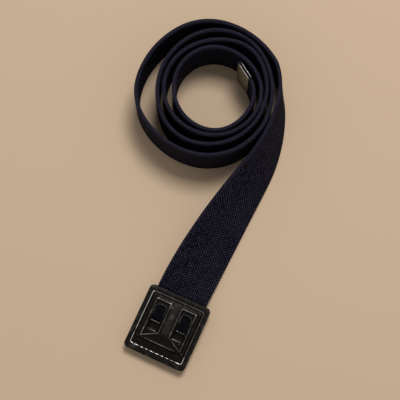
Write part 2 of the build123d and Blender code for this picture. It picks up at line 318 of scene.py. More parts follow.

# The raised panel is painted lighter along its stem and near border, a painted sheen with
# some polish. The window lips, the ring round each hole's near end and the far ridge are
# painted lighter as highlights with some rub, brightest on the lips' near ends and the left foot.
plate_x, plate_y, plate_z = plate_points.T
stem_and_near_border = level((plate_y + 8.0) / 4.0) * level((12.9 - np.abs(plate_x)) / 0.8)
sheen_and_polish = 0.34 * level((plate_z - PLATE_TOP) / PANEL_RISE) * stem_and_near_border
on_lip = hump(window_gap(plate_x, plate_y), 0.7)
hole_ring_highlight = 0.5 * hump(hole_gap(plate_x, plate_y) - 0.4, 0.5) * level((plate_y - 2.0) / 4.0)
near_end_lit = level((plate_y - 12.0) / 1.0)
left_foot_lit = level((-3.0 - plate_x) / 0.6) * level((-5.0 - plate_y) / 0.8)
lip_highlight_and_rub = on_lip * (0.56 + 0.44 * np.maximum(near_end_lit, 0.8 * left_foot_lit))
far_ridge_highlight = 0.62 * hump(far_ridge_gap(plate_x, plate_y), 0.8)
plate_rub_and_highlight = np.max([0.5 * plate_rub_and_highlight, sheen_and_polish, lip_highlight_and_rub, hole_ring_highlight, far_ridge_highlight], axis=0)
shells = [(plate_points, plate_faces, plate_rub_and_highlight)]
ear_low = (-13.8, -0.2)
ear_high = (17.8, 6.2)
ear_points, ear_faces, ear_rub = sheet_faces(
    ear_gap, flat, EAR_THICK, ear_low, ear_high, EAR_CELL, EAR_EDGE
)
for side in (1, -1):
    outer = side * PLATE_HALF_WIDTH
    placed = np.stack([outer + side * ear_points[:, 2], ear_points[:, 0], ear_points[:, 1]], 1)
    shells.append((placed, ear_faces[:, ::side], ear_rub))
window_plate = build_piece("pressed_window_plate", shells, in_buckle_mm)
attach(window_plate, "belt")
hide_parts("window_plate")


def new_sockets(group, **kinds):
    """Adds named sockets to a node group, such as Mask_out="Float" or Amount_in="Float"."""
    for label, kind in kinds.items():
        name, way = label.rsplit("_", 1)
        in_out = {"in": "INPUT", "out": "OUTPUT"}[way]
        group.interface.new_socket(name.replace("_", " "), in_out=in_out, socket_type="NodeSocket" + kind)


def calc(tree, operation, first, second=None, third=None):
    """A Math node; each input is a number or a socket."""
    node = tree.nodes.new("ShaderNodeMath")
    node.operation = operation
    for slot, value in zip(node.inputs, (first, second, third)):
        if isinstance(value, bpy.types.NodeSocket):
            tree.links.new(value, slot)
        elif value is not None:
            slot.default_value = value
    return node.outputs[0]


def spread(tree, value, low, high):
    """A value mapped from low..high to 0..1, clamped and smooth."""
    node = tree.nodes.new("ShaderNodeMapRange")
    node.interpolation_type = "SMOOTHSTEP"
    tree.links.new(value, node.inputs["Value"])
    node.inputs["From Min"].default_value = low
    node.inputs["From Max"].default_value = high
    return node.outputs["Result"]


def noise(tree, where, scale, detail, roughness=0.5):
    """Noise of this many waves a metre."""
    node = tree.nodes.new("ShaderNodeTexNoise")
    tree.links.new(where, node.inputs["Vector"])
    node.inputs["Scale"].default_value = scale
    node.inputs["Detail"].default_value = detail
    node.inputs["Roughness"].default_value = roughness
    return node.outputs["Fac"]


def blend_colours(tree, mask, first, second):
    """Mixes two colours, each a tuple or a socket, by a mask."""
    node = tree.nodes.new("ShaderNodeMix")
    node.data_type = "RGBA"
    tree.links.new(mask, node.inputs[0])
    for slot, value in ((node.inputs[6], first), (node.inputs[7], second)):
        if isinstance(value, bpy.types.NodeSocket):
            tree.links.new(value, slot)
        else:
            slot.default_value = (*value, 1)
    return node.outputs[2]


def bump(tree, height, distance):
    """The normal of a surface raised by a height of 0 to 1 times this distance."""
    node = tree.nodes.new("ShaderNodeBump")
    node.inputs["Distance"].default_value = distance
    node.inputs["Strength"].default_value = 1
    tree.links.new(height, node.inputs["Height"])
    return node.outputs["Normal"]


# Rubbed edges: where paint has worn through along ridges and rims, broken up by noise. On the plate and rim
# its input also carries painted highlights, which it paints the same way.
rubbed_edges = bpy.data.node_groups.new("rubbed edges", "ShaderNodeTree")
new_sockets(rubbed_edges, Rub_in="Float", Wear_in="Float", Place_in="Vector")
new_sockets(rubbed_edges, Bare_out="Float", Thin_out="Float")
group_in = rubbed_edges.nodes.new("NodeGroupInput")
group_out = rubbed_edges.nodes.new("NodeGroupOutput")
patches = noise(rubbed_edges, group_in.outputs["Place"], 260, 4, 0.6)
specks = noise(rubbed_edges, group_in.outputs["Place"], 1500, 3, 0.7)
broken = calc(rubbed_edges, "MULTIPLY_ADD", patches, 0.75, calc(rubbed_edges, "MULTIPLY", specks, 0.35))
rubbed = calc(rubbed_edges, "MULTIPLY", group_in.outputs["Rub"], group_in.outputs["Wear"])
edge_sum = calc(rubbed_edges, "ADD", rubbed, broken)
rubbed_edges.links.new(spread(rubbed_edges, edge_sum, 1.08, 1.22), group_out.inputs["Bare"])
rubbed_edges.links.new(spread(rubbed_edges, edge_sum, 0.75, 1.1), group_out.inputs["Thin"])


def black_finish(name, wear):
    """Blackened pressed steel: satin, faintly mottled, bare bright metal where rubbed, and painted lighter
    grey where the mask stands for sheen and highlights.
    """
    material = bpy.data.materials.new(name)
    material.use_nodes = True
    tree = material.node_tree
    shader = tree.nodes["Principled BSDF"]
    place = tree.nodes.new("ShaderNodeTexCoord").outputs["Object"]
    rub = tree.nodes.new("ShaderNodeAttribute")
    rub.attribute_name = "rub"
    edges = tree.nodes.new("ShaderNodeGroup")
    edges.node_tree = rubbed_edges
    edges.inputs["Wear"].default_value = wear
    tree.links.new(rub.outputs["Fac"], edges.inputs["Rub"])
    tree.links.new(place, edges.inputs["Place"])
    mottle = spread(tree, noise(tree, place, 420, 5, 0.6), 0.35, 0.65)
    # The black is warmed a little: a painted reflection of the pale floor.
    black_with_floor_reflection = blend_colours(tree, mottle, (0.0022, 0.0014, 0.0009), (0.0038, 0.0027, 0.0019))
    # Lighter grey by the mask: painted sheen and highlights on the plate's panel, lips and ridges and on the
    # rim's dome, with polish elsewhere.
    sheen_and_polish_mask = spread(tree, rub.outputs["Fac"], 0.05, 0.95)
    sheen_and_polish = blend_colours(tree, sheen_and_polish_mask, black_with_floor_reflection, (0.052, 0.050, 0.048))
    thin_paint_and_highlight = blend_colours(tree, edges.outputs["Thin"], sheen_and_polish, (0.135, 0.130, 0.124))
    colour = blend_colours(tree, edges.outputs["Bare"], thin_paint_and_highlight, (0.50, 0.485, 0.46))
    shader.inputs["Specular IOR Level"].default_value = 0.045
    tree.links.new(colour, shader.inputs["Base Color"])
    tree.links.new(edges.outputs["Bare"], shader.inputs["Metallic"])
    grain = noise(tree, place, 3200, 3, 0.6)
    rough = calc(tree, "MULTIPLY_ADD", grain, 0.16, calc(tree, "MULTIPLY_ADD", mottle, 0.06, 0.26))
    rough = calc(tree, "MULTIPLY_ADD", edges.outputs["Thin"], -0.05, rough)
    tree.links.new(rough, shader.inputs["Roughness"])
    tree.links.new(bump(tree, grain, 0.00002), shader.inputs["Normal"])
    return material


window_plate.data.materials.append(black_finish("blackened plate", 0.6))


# ==== Rim frame ==================================================================
# A picture frame pressed from the same steel, laid over the window plate, with its
# border softly domed and its outer edge turned down into a skirt. Its inner edge
# stands proud and has worn bright, with a painted highlight on the sides that face the light.
RIM_WIDTH = 39.5
RIM_LENGTH = 41.0
RIM_CORNER = 2.8
OPENING_WIDTH = 33.0
OPENING_LENGTH = 33.4
OPENING_CORNER = 1.2
CHEEK_HALF_LENGTH = 15.0
CHEEK_DEPTH = 2.2
SKIRT_BOTTOM = 5.4
SKIRT_FOOT = -0.90
CORNER_STEPS = 14
SIDE_STEPS = 60


def rounded_loop(width, length, corner):
    """Points round a rounded rectangle, the same count for any size, as (x, y)."""
    points = []
    for quarter in range(4):
        start = quarter * pi / 2
        sx, sy = ((1, 1), (-1, 1), (-1, -1), (1, -1))[quarter]
        cx, cy = sx * (width / 2 - corner), sy * (length / 2 - corner)
        for k in range(CORNER_STEPS + 1):
            angle = start + pi / 2 * k / CORNER_STEPS
            points.append((cx + corner * cos(angle), cy + corner * sin(angle)))
        nx, ny = ((-1, 1), (-1, -1), (1, -1), (1, 1))[quarter]
        next_x, next_y = nx * (width / 2 - corner), ny * (length / 2 - corner)
        ahead = start + pi / 2
        end = (next_x + corner * cos(ahead), next_y + corner * sin(ahead))
        last = points[-1]
        for k in range(1, SIDE_STEPS):
            share = k / SIDE_STEPS
            points.append((last[0] + (end[0] - last[0]) * share, last[1] + (end[1] - last[1]) * share))
    return np.array(points)


# Across the border from the skirt's foot, over the dome, to the proud inner edge and
# back beneath: (share of the way in, height over the plate, its rub and painted sheen).
# The lowest rows, at the skirt's foot, follow the cheeks down at the sides.
RIM_PROFILE = [
    (0.00, -0.90, 0.1), (0.00, 0.20, 0.1), (0.00, 0.45, 0.2), (0.03, 0.66, 0.4), (0.08, 0.83, 0.4),
    (0.15, 0.94, 0.4), (0.26, 1.00, 0.35), (0.40, 1.02, 0.3), (0.55, 1.01, 0.3), (0.68, 0.97, 0.25),
    (0.78, 0.95, 0.2), (0.86, 1.02, 0.4), (0.92, 1.10, 1.0), (0.97, 1.08, 1.0), (1.00, 0.98, 0.9),
    (1.00, 0.50, 0.2), (1.00, 0.02, 0.0), (0.60, 0.01, 0.0), (0.24, 0.00, 0.0), (0.22, -0.10, 0.0),
    (0.22, -0.90, 0.1),
]
outer_loop = rounded_loop(RIM_WIDTH, RIM_LENGTH, RIM_CORNER)
inner_loop = rounded_loop(OPENING_WIDTH, OPENING_LENGTH, OPENING_CORNER)
on_side = np.abs(outer_loop[:, 0]) > RIM_WIDTH / 2 - 0.4
cheek = on_side * level((CHEEK_HALF_LENGTH - np.abs(outer_loop[:, 1])) / 1.2)

# The inner edge is worn bright in dashes. It is painted brightest along the far side, the
# left side and the corner between the far and right sides, which face the light, and hardly
# at all where the strap enters: a painted highlight laid over the wear.
dashes = 0.52 + 0.22 * np.sin(inner_loop[:, 0] * 1.9) + 0.16 * np.sin(inner_loop[:, 0] * 4.3 + 1.0)
at_far = level((3.0 - OPENING_LENGTH / 2 - inner_loop[:, 1]) / 3.0) * dashes
at_left = (inner_loop[:, 0] < 0.5 - OPENING_WIDTH / 2) * (0.92 - 0.5 * hump(inner_loop[:, 1] + 9.5, 3.5))
at_corner = (inner_loop[:, 0] > OPENING_WIDTH / 2 - 0.5) * level((-11.0 - inner_loop[:, 1]) / 2.0)
worn_and_lit_side = np.maximum(np.maximum(at_far, at_left), np.maximum(at_corner, 0.45))
rim_points, rim_rub_and_highlight = [], []
for share, rise, rub in RIM_PROFILE:
    outline = outer_loop + (inner_loop - outer_loop) * share
    z = np.full(len(outline), PLATE_TOP + rise)
    if rise <= SKIRT_FOOT:
        z = SKIRT_BOTTOM - CHEEK_DEPTH * cheek
    rim_points.append(np.stack([outline[:, 0], outline[:, 1] + RIM_Y, z], 1))
    rim_rub_and_highlight.append(rub * (worn_and_lit_side if share > 0.8 else np.full(len(outline), 0.6)))
points_round = len(outer_loop)
profile_rows = len(RIM_PROFILE)
rim_faces = []
for row in range(profile_rows):
    this = row * points_round
    above = (row + 1) % profile_rows * points_round
    for k in range(points_round):
        ahead = (k + 1) % points_round
        rim_faces.append((this + k, this + ahead, above + ahead, above + k))
rim_shell = (np.concatenate(rim_points), rim_faces, np.concatenate(rim_rub_and_highlight))
rim_frame = build_piece("domed_rim_frame", [rim_shell], in_buckle_mm)
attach(rim_frame, "belt")
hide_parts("rim_frame")
rim_frame.data.materials.append(black_finish("blackened rim", 0.95))


# ==== Lock bar ===================================================================
# A short steel bar, fluted for grip, whose thin ends slide in the inclined slots of
# the ears. Its work is to pinch the strap's free end against the window plate.
BAR_RADIUS = 1.4
BAR_END_RADIUS = 0.9
BAR_HALF = PLATE_HALF_WIDTH - 1.3
BAR_FLUTES = 16
FLUTE_DEPTH = 0.07


def turned(profile, sides, flutes=0, flute_depth=0, bored=False):
    """Points and faces of a piece turned about X from (x, radius) pairs.

    Its ends are capped, or it is bored and the profile closes on itself.
    """
    points, faces = [], []
    for x, radius in profile:
        for k in range(sides):
            angle = tau * k / sides
            cut = flute_depth * (0.5 - 0.5 * cos(flutes * angle)) if radius > BAR_END_RADIUS + 0.3 else 0
            points.append((x, (radius - cut) * cos(angle), (radius - cut) * sin(angle)))
    rows = len(profile)
    for row in range(rows if bored else rows - 1):
        base, above = row * sides, (row + 1) % rows * sides
        for k in range(sides):
            ahead = (k + 1) % sides
            faces.append((base + ahead, above + ahead, above + k, base + k))
    if not bored:
        faces.append(tuple(range(sides))[::-1])
        faces.append(tuple(range((rows - 1) * sides, rows * sides)))
    return points, faces


bar_half_profile = [
    (0.0, BAR_RADIUS), (BAR_HALF - 0.25, BAR_RADIUS), (BAR_HALF - 0.08, BAR_RADIUS - 0.08),
    (BAR_HALF, BAR_RADIUS - 0.25), (BAR_HALF + 0.05, BAR_END_RADIUS),
    (PLATE_HALF_WIDTH - 0.15, BAR_END_RADIUS), (PLATE_HALF_WIDTH, BAR_END_RADIUS - 0.15),
]
bar_profile = [(-x, radius) for x, radius in reversed(bar_half_profile[1:])] + bar_half_profile
bar_points, bar_faces = turned(bar_profile, 96, BAR_FLUTES, FLUTE_DEPTH)
bar_rub = [1.0 if np.hypot(p[1], p[2]) > BAR_RADIUS - 0.05 else 0.3 for p in bar_points]
bar_place = in_buckle_mm @ Matrix.Translation((0, BAR_Y, BAR_Z))
lock_bar = build_piece("fluted_lock_bar", [(bar_points, bar_faces, bar_rub)], bar_place)
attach(lock_bar, "lock_bar")
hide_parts("lock_bar")


def worn_steel(name, bright, dull, roughness):
    """Bare plated steel: polished on its high spots, duller and browner in the low ones."""
    material = bpy.data.materials.new(name)
    material.use_nodes = True
    tree = material.node_tree
    shader = tree.nodes["Principled BSDF"]
    shader.inputs["Metallic"].default_value = 1
    place = tree.nodes.new("ShaderNodeTexCoord").outputs["Object"]
    rub = tree.nodes.new("ShaderNodeAttribute")
    rub.attribute_name = "rub"
    edges = tree.nodes.new("ShaderNodeGroup")
    edges.node_tree = rubbed_edges
    edges.inputs["Wear"].default_value = 0.75
    tree.links.new(rub.outputs["Fac"], edges.inputs["Rub"])
    tree.links.new(place, edges.inputs["Place"])
    stain = spread(tree, noise(tree, place, 700, 5, 0.6), 0.35, 0.7)
    low = blend_colours(tree, stain, dull, tuple(0.6 * c for c in dull))
    tree.links.new(blend_colours(tree, edges.outputs["Thin"], low, bright), shader.inputs["Base Color"])
    fine = noise(tree, place, 2500, 3, 0.6)
    rough = calc(tree, "MULTIPLY_ADD", fine, 0.18, roughness - 0.05)
    tree.links.new(calc(tree, "MULTIPLY_ADD", stain, 0.12, rough), shader.inputs["Roughness"])
    tree.links.new(bump(tree, fine, 0.00002), shader.inputs["Normal"])
    return material


bar_steel = worn_steel("worn bar steel", (0.085, 0.083, 0.079), (0.010, 0.009, 0.008), 0.20)
lock_bar.data.materials.append(bar_steel)


# ==== End clamp ==================================================================
# A toothed jaw of blackened steel with a bored barrel, hinged under the strap's fixed
# end. A row of short gripping teeth faces the weave from below, and a pointed edge
# stands up past the strap's cut end.
CLAMP_HALF_WIDTH = 16.4
CLAMP_TAIL_Y = -3.6
CLAMP_HINGE_Y = PIN_Y - 1.05        # the flat part ends within the barrel's wall
CLAMP_LOW = 0.9
CLAMP_THICK = 1.0
BARREL_RADIUS = 1.3
BARREL_HALF = PLATE_HALF_WIDTH - 1.3
TOOTH_PITCH = 2.1
TOOTH_COUNT = 13
TOOTH_ROOT_Z = 2.8
TOOTH_TIP_Z = 4.9
TOOTH_HALF_WIDTH = 0.95
TOOTH_POINT = (0.22, 0.12)          # half its width, and how far below the tip it starts
UPRIGHT_Y = 0.35
UPRIGHT_HALF_THICK = 0.42
UPRIGHT_HALF = 13.7
GRIP_Y = 5.0
GRIP_RISE = 0.85
BEAD_Y = 12.0
LIGHTENING_HOLE = (10.5, 9.3)
LIGHTENING_RADIUS = 1.3
CLAMP_MARGIN = 0.3
CLAMP_CELL = 0.26
CLAMP_EDGE = 0.25


def clamp_gap(x, y):
    """The jaw's flat part, with a round hole near each side to lighten it."""
    length = CLAMP_HINGE_Y - CLAMP_TAIL_Y
    outer = rounded_box_gap(x, y - CLAMP_TAIL_Y - length / 2, 2 * CLAMP_HALF_WIDTH, length, 0.8)
    hole = np.hypot(np.abs(x) - LIGHTENING_HOLE[0], y - LIGHTENING_HOLE[1]) - LIGHTENING_RADIUS
    return np.maximum(outer, -hole)


def clamp_height(x, y):
    """Upper face: a stiffening bead across it, and a row of small gripping teeth."""
    flat_top = CLAMP_LOW + CLAMP_THICK + 0 * x
    bead = 0.25 * hump(y - BEAD_Y, 0.8) * level((14.5 - np.abs(x)) / 0.5)
    across = np.abs((x / TOOTH_PITCH) % 1.0 - 0.5) * 2
    grip = np.clip(1 - across * 1.4, 0, 1) * np.clip(1 - np.abs(y - GRIP_Y) / 0.5, 0, 1)
    return flat_top + bead + GRIP_RISE * grip * (np.abs(x) < 14.0)


def toothed_edge():
    """The upright edge: a thin strip whose top is cut into pointed teeth."""
    foot = CLAMP_LOW + 0.3
    outline = [(-UPRIGHT_HALF, foot), (UPRIGHT_HALF, foot), (UPRIGHT_HALF, TOOTH_ROOT_Z)]
    for k in range(TOOTH_COUNT - 1, -1, -1):
        middle = (k - (TOOTH_COUNT - 1) / 2) * TOOTH_PITCH
        outline.append((middle + TOOTH_HALF_WIDTH, TOOTH_ROOT_Z))
        outline.append((middle + TOOTH_POINT[0], TOOTH_TIP_Z - TOOTH_POINT[1]))
        outline.append((middle, TOOTH_TIP_Z))
        outline.append((middle - TOOTH_POINT[0], TOOTH_TIP_Z - TOOTH_POINT[1]))
        outline.append((middle - TOOTH_HALF_WIDTH, TOOTH_ROOT_Z))
    outline.append((-UPRIGHT_HALF, TOOTH_ROOT_Z))
    count = len(outline)
    near = [(x, UPRIGHT_Y - UPRIGHT_HALF_THICK, z) for x, z in outline]
    far = [(x, UPRIGHT_Y + UPRIGHT_HALF_THICK * (0.3 if z > TOOTH_ROOT_Z else 1), z) for x, z in outline]
    faces = [tuple(range(count)), tuple(range(2 * count - 1, count - 1, -1))]
    for k in range(count):
        ahead = (k + 1) % count
        faces.append((ahead, k, k + count, ahead + count))
    rub = [1.0 if z > TOOTH_ROOT_Z + 0.5 else 0.3 for x, z in outline] * 2
    return near + far, faces, rub


clamp_low = (-CLAMP_HALF_WIDTH - CLAMP_MARGIN, CLAMP_TAIL_Y - CLAMP_MARGIN)
clamp_high = (CLAMP_HALF_WIDTH + CLAMP_MARGIN, CLAMP_HINGE_Y + CLAMP_MARGIN)
clamp_flat = sheet_faces(
    clamp_gap, clamp_height, CLAMP_THICK, clamp_low, clamp_high, CLAMP_CELL, CLAMP_EDGE
)
barrel_profile = [
    (-BARREL_HALF, BARREL_RADIUS - 0.2), (-BARREL_HALF + 0.2, BARREL_RADIUS),
    (BARREL_HALF - 0.2, BARREL_RADIUS), (BARREL_HALF, BARREL_RADIUS - 0.2),
    (BARREL_HALF, PIN_HOLE_RADIUS), (-BARREL_HALF, PIN_HOLE_RADIUS),
]
barrel_points, barrel_faces = turned(barrel_profile, 48, bored=True)
barrel_points = [(x, y + PIN_Y, z + PIN_Z) for x, y, z in barrel_points]
clamp_shells = [clamp_flat, (barrel_points, barrel_faces, [0.5] * len(barrel_points)), toothed_edge()]
end_clamp = build_piece("toothed_end_clamp", clamp_shells, in_buckle_mm)
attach(end_clamp, "end_clamp")
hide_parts("end_clamp")
end_clamp.data.materials.append(black_finish("blackened clamp", 0.8))


# ==== Clamp pin ==================================================================
# A steel pin through both ears and the clamp's barrel, its ends spread into heads.
PIN_RADIUS = 0.8
PIN_HEAD_RADIUS = 1.2
PIN_HEAD_THICK = 0.5
pin_half_profile = [
    (0.0, PIN_RADIUS), (PLATE_HALF_WIDTH, PIN_RADIUS), (PLATE_HALF_WIDTH + 0.02, PIN_HEAD_RADIUS),
    (PLATE_HALF_WIDTH + 0.25, PIN_HEAD_RADIUS), (PLATE_HALF_WIDTH + 0.42, PIN_HEAD_RADIUS - 0.3),
    (PLATE_HALF_WIDTH + PIN_HEAD_THICK, PIN_HEAD_RADIUS - 0.8),
]
pin_profile = [(-x, radius) for x, radius in reversed(pin_half_profile[1:])] + pin_half_profile
pin_points, pin_faces = turned(pin_profile, 32)
pin_place = in_buckle_mm @ Matrix.Translation((0, PIN_Y, PIN_Z))
clamp_pin = build_piece("headed_clamp_pin", [(pin_points, pin_faces, [0.8] * len(pin_points))], pin_place)
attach(clamp_pin, "belt")
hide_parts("clamp_pin")
clamp_pin.data.materials.append(bar_steel)


# ==== Webbing strap ==============================================================
# One length of heavy navy cotton webbing. It leaves the buckle flat, turns up on its
# edge, and winds into four loose turns; the inner end carries the tip.
STRAP_WIDTH = 32.0
STRAP_THICK = 2.3
END_IN_BUCKLE = 18.5
MOUTH_Y = 20.0
STRAP_HEADING = 63.4
STRAP_UNDER = 3.0
TWIST_STRAIGHT = 84.3
TWIST_BENDS = [(108.0, 25.0), (52.0, 30.0)]
TWIST_EASE = 1.2
DROP_LENGTH = 40.0
PRESSED_STRAP = 1.5
TIP_CLEAR = 0.03
TIP_CORNER = 3.0
TURN_SWEEP = 45.0
TURN_RADII = [
    [51.0, 36.5, 52.5, 31.0, 49.0, 37.5, 39.5, 44.5],
    [31.5, 32.5, 39.5, 38.5, 28.0, 34.5, 35.5, 37.0],
    [22.0, 38.0, 30.5, 27.5, 31.5, 29.0, 28.5, 24.5],
    [31.5, 23.5, 25.0, 27.5, 26.5, 20.0, 27.5, 17.0],
]
LAST_BEND = (12.0, 3.0)
BEND_EASE = 9.0
TIP_LENGTH = 12.5
TIP_SHEET = 0.4
PICK = 0.92                # spacing of the weft threads along the strap
FACE_CORDS = 28            # warp cords across each face
EDGE_CORDS = 2             # and round each edge
RELIEF = 0.15              # how far a cord dips where it goes under the weft

bends = TWIST_BENDS + [(radius, TURN_SWEEP) for turn in TURN_RADII for radius in turn] + [LAST_BEND]
twist_length = TWIST_STRAIGHT + sum(radius * radians(sweep) for radius, sweep in TWIST_BENDS)
held_in_tip = TIP_LENGTH - TIP_SHEET - PRESSED_STRAP / 2
FINE = 0.1
leg_lengths = [END_IN_BUCKLE + TWIST_STRAIGHT] + [r * radians(sweep) for r, sweep in bends] + [held_in_tip]
leg_bends = [0.0] + [1 / r for r, sweep in bends] + [0.0]
strap_length = sum(leg_lengths)
fine_steps = round(strap_length / FINE)
fine_place = (np.arange(fine_steps) + 0.5) * strap_length / fine_steps
curvature = np.array(leg_bends)[np.searchsorted(np.cumsum(leg_lengths)[:-1], fine_place)]
soften = round(BEND_EASE / FINE)
padded = np.pad(curvature, soften, mode="edge")
curvature = np.convolve(padded, np.ones(soften) / soften, mode="same")[soften:-soften]
fine_step = strap_length / fine_steps

# The tip holds its stretch straight, so what easing spilled into it goes back before it.
first_held = fine_steps - round(held_in_tip / fine_step)
spilled = curvature[first_held:first_held + soften].copy()
curvature[first_held:] = 0
curvature[first_held - soften:first_held] += spilled[::-1]
fine_heading = radians(STRAP_HEADING) + np.concatenate([[0], np.cumsum(curvature) * fine_step])
middle_heading = (fine_heading[1:] + fine_heading[:-1]) / 2
mouth = buckle_place / MM + along_buckle * MOUTH_Y
strap_dir = Vector((cos(radians(STRAP_HEADING)), sin(radians(STRAP_HEADING)), 0))
strap_left = Vector((-strap_dir.y, strap_dir.x, 0))
start = mouth - strap_left * STRAP_WIDTH / 2 - strap_dir * END_IN_BUCKLE
fine_x = start.x + np.concatenate([[0], np.cumsum(np.cos(middle_heading)) * fine_step])
fine_y = start.y + np.concatenate([[0], np.cumsum(np.sin(middle_heading)) * fine_step])

rings = round(strap_length / PICK) + 1
ring_run = np.linspace(0, strap_length, rings)
fine_run = np.linspace(0, strap_length, fine_steps + 1)
ring_x = np.interp(ring_run, fine_run, fine_x)
ring_y = np.interp(ring_run, fine_run, fine_y)
ring_heading = np.interp(ring_run, fine_run, fine_heading)
from_mouth = ring_run - END_IN_BUCKLE
to_go = np.clip(1 - np.clip(from_mouth, 0, None) / twist_length, 0, 1)
twist = np.radians(90 * (1 - to_go**TWIST_EASE))
lift = STRAP_UNDER * (1 - level(from_mouth / DROP_LENGTH)) + STRAP_THICK / 2 * np.cos(twist)

# One point for each cord round the strap: (across it, off its middle plane).
half_thick = STRAP_THICK / 2
edge_depth = 0.5 * half_thick
section = []
for face in (1, -1):
    for k in range(FACE_CORDS):
        across = edge_depth + k * (STRAP_WIDTH - 2 * edge_depth) / (FACE_CORDS - 1)
        section.append((across if face > 0 else STRAP_WIDTH - across, face * half_thick))
    for k in range(1, EDGE_CORDS + 1):
        off = half_thick * (1 - 2 * k / (EDGE_CORDS + 1))
        section.append((STRAP_WIDTH if face > 0 else 0, face * off))
section = np.array(section)
around = len(section)

# Every second crossing dips under the weft; the tip presses its stretch thin and smooth.
pressed_from = strap_length - held_in_tip
pressed = level((ring_run - pressed_from + PICK + 0.5) / 0.5)[:, None]
pressed_share = (PRESSED_STRAP - 2 * TIP_CLEAR) / STRAP_THICK
dips = (np.arange(rings)[:, None] + np.arange(around)[None, :]) % 2
inward = section - [STRAP_WIDTH / 2, 0]
on_face = np.abs(inward[:, 1]) > 0.9 * half_thick
inward = np.where(on_face[:, None], inward * [0, 1], inward * [1, 0])
inward = -inward / np.maximum(np.abs(inward).sum(1, keepdims=True), 1e-9)
dip = RELIEF * dips * (1 - 0.8 * pressed)
across = section[None, :, 0] + dip * inward[None, :, 0]
off = section[None, :, 1] + dip * inward[None, :, 1]
off = off * (1 - (1 - pressed_share) * pressed)
past_corner = np.clip(ring_run - pressed_from - (TIP_LENGTH - TIP_CORNER), 0, TIP_CORNER)
corner_cut = TIP_CORNER - np.sqrt(TIP_CORNER**2 - past_corner**2)
width_left = 1 - 2 * corner_cut[:, None] / STRAP_WIDTH
across = STRAP_WIDTH / 2 + (across - STRAP_WIDTH / 2) * width_left
cos_twist, sin_twist = np.cos(twist)[:, None], np.sin(twist)[:, None]
sideways = across * cos_twist - off * sin_twist
strap_x = ring_x[:, None] - sideways * np.sin(ring_heading)[:, None]
strap_y = ring_y[:, None] + sideways * np.cos(ring_heading)[:, None]
strap_z = lift[:, None] + across * sin_twist + off * cos_twist
strap_points = np.stack([strap_x, strap_y, strap_z], -1).reshape(-1, 3) * MM
ring_number = np.arange(rings - 1)[:, None] * around
column = np.arange(around)[None, :]
ahead = (column + 1) % around
this, above = ring_number, ring_number + around
corners = [this + column, above + column, above + ahead, this + ahead]
strap_faces = np.stack(corners, -1).reshape(-1, 4).tolist()
strap_faces.append(list(range(around)))
strap_faces.append(list(range((rings - 1) * around, rings * around))[::-1])
strap_mesh = bpy.data.meshes.new("webbing_strap")
strap_mesh.from_pydata(strap_points.tolist(), [], strap_faces)

# The strap's own map: weft threads counted along it, warp cords counted round it.
thread_map = strap_mesh.uv_layers.new(name="thread_count")
along_count = np.repeat(np.arange(rings - 1), around)
round_count = np.tile(np.arange(around), rings - 1)
along_corners = np.stack([along_count, along_count + 1, along_count + 1, along_count], -1)
round_corners = np.stack([round_count, round_count, round_count + 1, round_count + 1], -1)
counts = np.stack([along_corners, round_corners], -1).reshape(-1, 2)
counts = np.concatenate([counts, np.zeros((2 * around, 2))])
thread_map.data.foreach_set("uv", counts.ravel().astype(np.float32))
strap_mesh.shade_smooth()
strap_mesh.update()
webbing_strap = bpy.data.objects.new("webbing_strap", strap_mesh)
scene.collection.objects.link(webbing_strap)
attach(webbing_strap, "belt")
turn_nodes = [f"webbing_turn_{turn}" for turn in range(1, len(TURN_RADII) + 1)]
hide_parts("webbing_clamped_end", "webbing_twist", *turn_nodes, "webbing_inner_end")

# Webbing weave: oval nodules where each warp cord rides over the weft, in staggered
# rows. Along counts weft threads, Across counts warp cords.
weave = bpy.data.node_groups.new("webbing weave", "ShaderNodeTree")
new_sockets(weave, Along_in="Float", Across_in="Float", Strands_in="Float")
new_sockets(weave, Height_out="Float", Tint_out="Float", Strand_out="Float")
group_in = weave.nodes.new("NodeGroupInput")
group_out = weave.nodes.new("NodeGroupOutput")
cord_place = calc(weave, "ADD", group_in.outputs["Across"], 0.5)
cord_number = calc(weave, "FLOOR", cord_place)
in_cord = calc(weave, "SUBTRACT", calc(weave, "FRACT", cord_place), 0.5)
stagger = calc(weave, "MULTIPLY_ADD", calc(weave, "FLOORED_MODULO", cord_number, 2.0), 0.5, 0.5)
nodule_place = calc(weave, "MULTIPLY_ADD", group_in.outputs["Along"], 0.5, stagger)
nodule_number = calc(weave, "FLOOR", nodule_place)
in_nodule = calc(weave, "SUBTRACT", calc(weave, "FRACT", nodule_place), 0.5)
round_cord = calc(weave, "POWER", calc(weave, "COSINE", calc(weave, "MULTIPLY", in_cord, pi)), 0.7)
round_nodule = calc(weave, "POWER", calc(weave, "COSINE", calc(weave, "MULTIPLY", in_nodule, pi)), 0.8)
nodule = calc(weave, "MULTIPLY", round_cord, round_nodule)
which = weave.nodes.new("ShaderNodeCombineXYZ")
weave.links.new(cord_number, which.inputs["X"])
weave.links.new(nodule_number, which.inputs["Y"])
each = weave.nodes.new("ShaderNodeTexWhiteNoise")
each.noise_dimensions = "2D"
weave.links.new(which.outputs[0], each.inputs["Vector"])
lean = calc(weave, "MULTIPLY_ADD", in_nodule, 0.9, in_cord)
turns = calc(weave, "MULTIPLY", lean, group_in.outputs["Strands"])
strand_wave = calc(weave, "SINE", calc(weave, "MULTIPLY", turns, tau))
strand = calc(weave, "MULTIPLY_ADD", strand_wave, 0.5, 0.5)
weave.links.new(nodule, group_out.inputs["Height"])
weave.links.new(each.outputs["Value"], group_out.inputs["Tint"])
weave.links.new(strand, group_out.inputs["Strand"])

